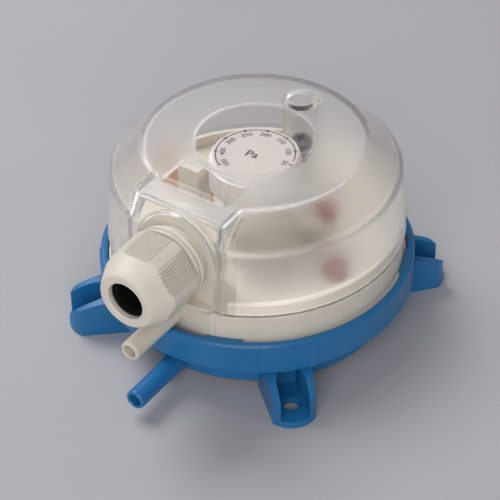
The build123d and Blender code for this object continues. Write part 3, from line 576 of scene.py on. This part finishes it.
def printed_text(name, words, size, place, turn):
    """Prints a line of text as a flat mesh on the disc; place is its middle in millimetres."""
    line = bpy.data.curves.new(name, "FONT")
    line.body = words
    line.size = size * MM
    line.align_x = "CENTER"
    line.align_y = "CENTER"
    line.offset = BOLDNESS * MM * size
    line.resolution_u = 3
    draft = bpy.data.objects.new(name + "_draft", line)
    bpy.context.scene.collection.objects.link(draft)
    bpy.context.view_layer.update()
    shape = bpy.data.meshes.new_from_object(draft.evaluated_get(bpy.context.evaluated_depsgraph_get()))
    bpy.data.objects.remove(draft)
    middle = Vector((place[0], place[1], LABEL_TOP + PRINT_LIFT)) * MM
    shape.transform(Matrix.Translation(middle) @ Matrix.Rotation(math.radians(turn), 4, "Z"))
    piece = bpy.data.objects.new(name, shape)
    bpy.context.scene.collection.objects.link(piece)
    wear(piece, ink)
    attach(piece, "dial")


for index, value in enumerate(SCALE_VALUES):
    angle = math.radians(value_angle(index))
    spot = (VALUE_RADIUS * math.cos(angle), VALUE_RADIUS * math.sin(angle))
    printed_text(f"dial_value_{value}", str(value), VALUE_SIZE, spot, value_angle(index) - 90)
printed_text("dial_unit", "Pa", UNIT_SIZE, UNIT_PLACE, UNIT_TURN)
print("printed values:", len(SCALE_VALUES))


# %% [markdown]
# # The range spring
# The dial screws a nut down on this spring, and the diaphragm pushes the spring's foot up. A rigid spring would cut
# into the nut, so it is drawn again as a round wire along a helix, with closed end coils. It comes in two lengths
# that meet at a cut. Each length is a row of rings with a lid at both ends.

# %% Wire along a helix
WIRE_RADIUS = 0.5
COIL_TURNS = 4.0
END_TURNS = 0.8
END_PITCH = 1.05
CUT_TURN = 1.45
spring_low, spring_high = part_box("range_spring")
COIL_RADIUS = spring_high.x / MM - WIRE_RADIUS
SPRING_FOOT = spring_low.z / MM + WIRE_RADIUS
SPRING_RISE = (spring_high.z - spring_low.z) / MM - 2 * WIRE_RADIUS


def coil_height(turn):
    """The wire's height after so many turns: slow in the closed end coils, and faster between them."""
    closed = END_TURNS * END_PITCH
    if turn < END_TURNS:
        return SPRING_FOOT + turn * END_PITCH
    if turn > COIL_TURNS - END_TURNS:
        return SPRING_FOOT + SPRING_RISE - (COIL_TURNS - turn) * END_PITCH
    open_pitch = (SPRING_RISE - 2 * closed) / (COIL_TURNS - 2 * END_TURNS)
    return SPRING_FOOT + closed + (turn - END_TURNS) * open_pitch


def coil(first, last, steps_each_turn=40, sides=12):
    """Corners and faces of the wire from one turn to another, closed at both ends."""
    steps = round((last - first) * steps_each_turn)
    corners, faces = [], []
    for step in range(steps + 1):
        turn = first + (last - first) * step / steps
        angle = math.tau * turn
        for side in range(sides):
            around = math.tau * side / sides
            reach = COIL_RADIUS + WIRE_RADIUS * math.cos(around)
            height = coil_height(turn) + WIRE_RADIUS * math.sin(around)
            corners.append((reach * math.cos(angle), reach * math.sin(angle), height))
    for step in range(steps):
        for side in range(sides):
            here, over = step * sides + side, step * sides + (side + 1) % sides
            faces.append((here, here + sides, over + sides, over))
    faces.append(tuple(range(sides)))
    faces.append(tuple(reversed(range(steps * sides, (steps + 1) * sides))))
    return corners, faces


def spring_length(name, first, last):
    """A length of the spring as a mesh of its own, in place of the imported spring, which is hidden."""
    piece = new_piece(name, *coil(first, last), steel)
    piece.data.shade_smooth()
    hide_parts("range_spring")
    bottom = coil_height(first) + (WIRE_RADIUS if first == 0 else 0)
    top = coil_height(last) - (WIRE_RADIUS if last == COIL_TURNS else 0)
    bottom * MM
    top * MM
    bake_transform(piece)
    return piece


lower_coils = spring_length("range_spring_lower", 0, CUT_TURN)
upper_coils = spring_length("range_spring_upper", CUT_TURN, COIL_TURNS)
print("spring faces:", len(lower_coils.data.polygons) + len(upper_coils.data.polygons))


# %% [markdown]
# # Smooth shading
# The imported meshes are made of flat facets, and large facets should rule how the light falls on small ones beside
# them. A Weighted Normal modifier does that and leaves every corner where it is, which a Bevel modifier wouldn't.

# %% Weigh the shading of every node
for node in nodes.values():
    blend = node.modifiers.new("soft_edges", "WEIGHTED_NORMAL")
    blend.keep_sharp = True
print("nodes with weighted shading:", len(nodes))


# %% [markdown]
# # The floor
# The part stands on pale grey card. A plane of several metres has no edge in the picture, and a faint noise keeps it
# from being one flat grey.

# %% The floor
FLOOR_SIDE = 6
FLOOR_PATCH = 60
FLOOR_GREY = (0.54, 0.53, 0.555)
FLOOR_DARKER = (0.535, 0.525, 0.55, 1)
FLOOR_LIGHTER = (0.545, 0.535, 0.56, 1)
floor_paint = Paint("floor_card", FLOOR_GREY, 0.85)
patches = floor_paint.spread(floor_paint.noise(floor_paint.place(), FLOOR_PATCH), 0, 1)
floor_paint.set("Base Color", floor_paint.mix(patches, FLOOR_DARKER, FLOOR_LIGHTER))
bpy.ops.mesh.primitive_plane_add(size=FLOOR_SIDE)
floor = bpy.context.object
floor.name = "floor"
floor.data.materials.append(floor_paint.material)
print("floor in metres:", FLOOR_SIDE, "a side")


# %% [markdown]
# # Light
# One big soft light is on the left, and a wider and warmer one is in front. Area lamps give the soft shadows of a
# light tent, where a sun or a spot would cut them sharp. A dim bluish world fills what the lamps don't reach.

# %% Lamps and world
LAMP_TARGET = Vector((0, 0, 0.02))
KEY_COLOUR = (0.985, 0.99, 1.0)
FRONT_COLOUR = (1.0, 0.975, 0.94)
WORLD_COLOUR = (0.93, 0.95, 1.0, 1)
WORLD_STRENGTH = 0.22


def lamp(name, place, power, size, colour):
    """Adds a square lamp that faces the part; place and size are in metres, and power is in watts."""
    light = bpy.data.lights.new(name, "AREA")
    light.energy = power
    light.size = size
    light.color = colour
    holder = bpy.data.objects.new(name, light)
    bpy.context.scene.collection.objects.link(holder)
    holder.location = place
    holder.rotation_euler = (LAMP_TARGET - Vector(place)).to_track_quat("-Z", "Y").to_euler()


lamp("key_light", (-0.62, 0.10, 0.80), power=5.5, size=0.55, colour=KEY_COLOUR)
lamp("front_light", (0.50, -0.95, 0.60), power=6.8, size=0.9, colour=FRONT_COLOUR)
world = bpy.data.worlds.new("studio")
bpy.context.scene.world = world
world.use_nodes = True
world.node_tree.nodes["Background"].inputs["Color"].default_value = WORLD_COLOUR
world.node_tree.nodes["Background"].inputs["Strength"].default_value = WORLD_STRENGTH
bpy.context.scene.view_settings.view_transform = "Standard"
print("lamps:", [light.name for light in bpy.data.lights])


# %% [markdown]
# # The camera
# The camera was found by matching edges of the part to the photograph: its turn about the part, its height, its
# distance in millimetres and a slight roll. Eyes can't set so many numbers at once, so they come from a least-squares
# fit. The lens is long, as for a product shot, so the near feet look hardly larger. Its length is in pixels of the
# picture.

# %% Camera
CAMERA_TURN = 35.25
CAMERA_HEIGHT = 39.09
CAMERA_ROLL = -1.37
CAMERA_DISTANCE = 618.97
CAMERA_SIDEWAYS = -2.21
CAMERA_UP = 14.75
FOCAL_PIXELS = 2041.67
PICTURE_WIDTH = 500
SENSOR_WIDTH = 36


def set_camera():
    """A camera that looks at the part's axis from this turn and height, shifted and rolled a little."""
    turn, height, roll = [math.radians(angle) for angle in (CAMERA_TURN, CAMERA_HEIGHT, CAMERA_ROLL)]
    back = Vector((math.sin(turn) * math.cos(height), -math.cos(turn) * math.cos(height), math.sin(height)))
    right = Vector((math.cos(turn), math.sin(turn), 0))
    up = back.cross(right)
    place = right * CAMERA_SIDEWAYS + up * CAMERA_UP + back * CAMERA_DISTANCE
    tilted_right = right * math.cos(roll) + up * math.sin(roll)
    tilted_up = up * math.cos(roll) - right * math.sin(roll)
    lens = bpy.data.cameras.new("camera")
    lens.sensor_width = SENSOR_WIDTH
    lens.lens = FOCAL_PIXELS * SENSOR_WIDTH / PICTURE_WIDTH
    lens.clip_start = 0.05
    lens.clip_end = 10
    camera = bpy.data.objects.new("camera", lens)
    bpy.context.scene.collection.objects.link(camera)
    turned = Matrix((tilted_right, tilted_up, back)).transposed().to_4x4()
    camera.matrix_world = Matrix.Translation(place * MM) @ turned
    bpy.context.scene.camera = camera
    return camera


camera = set_camera()
print("camera at", [round(value, 3) for value in camera.location])
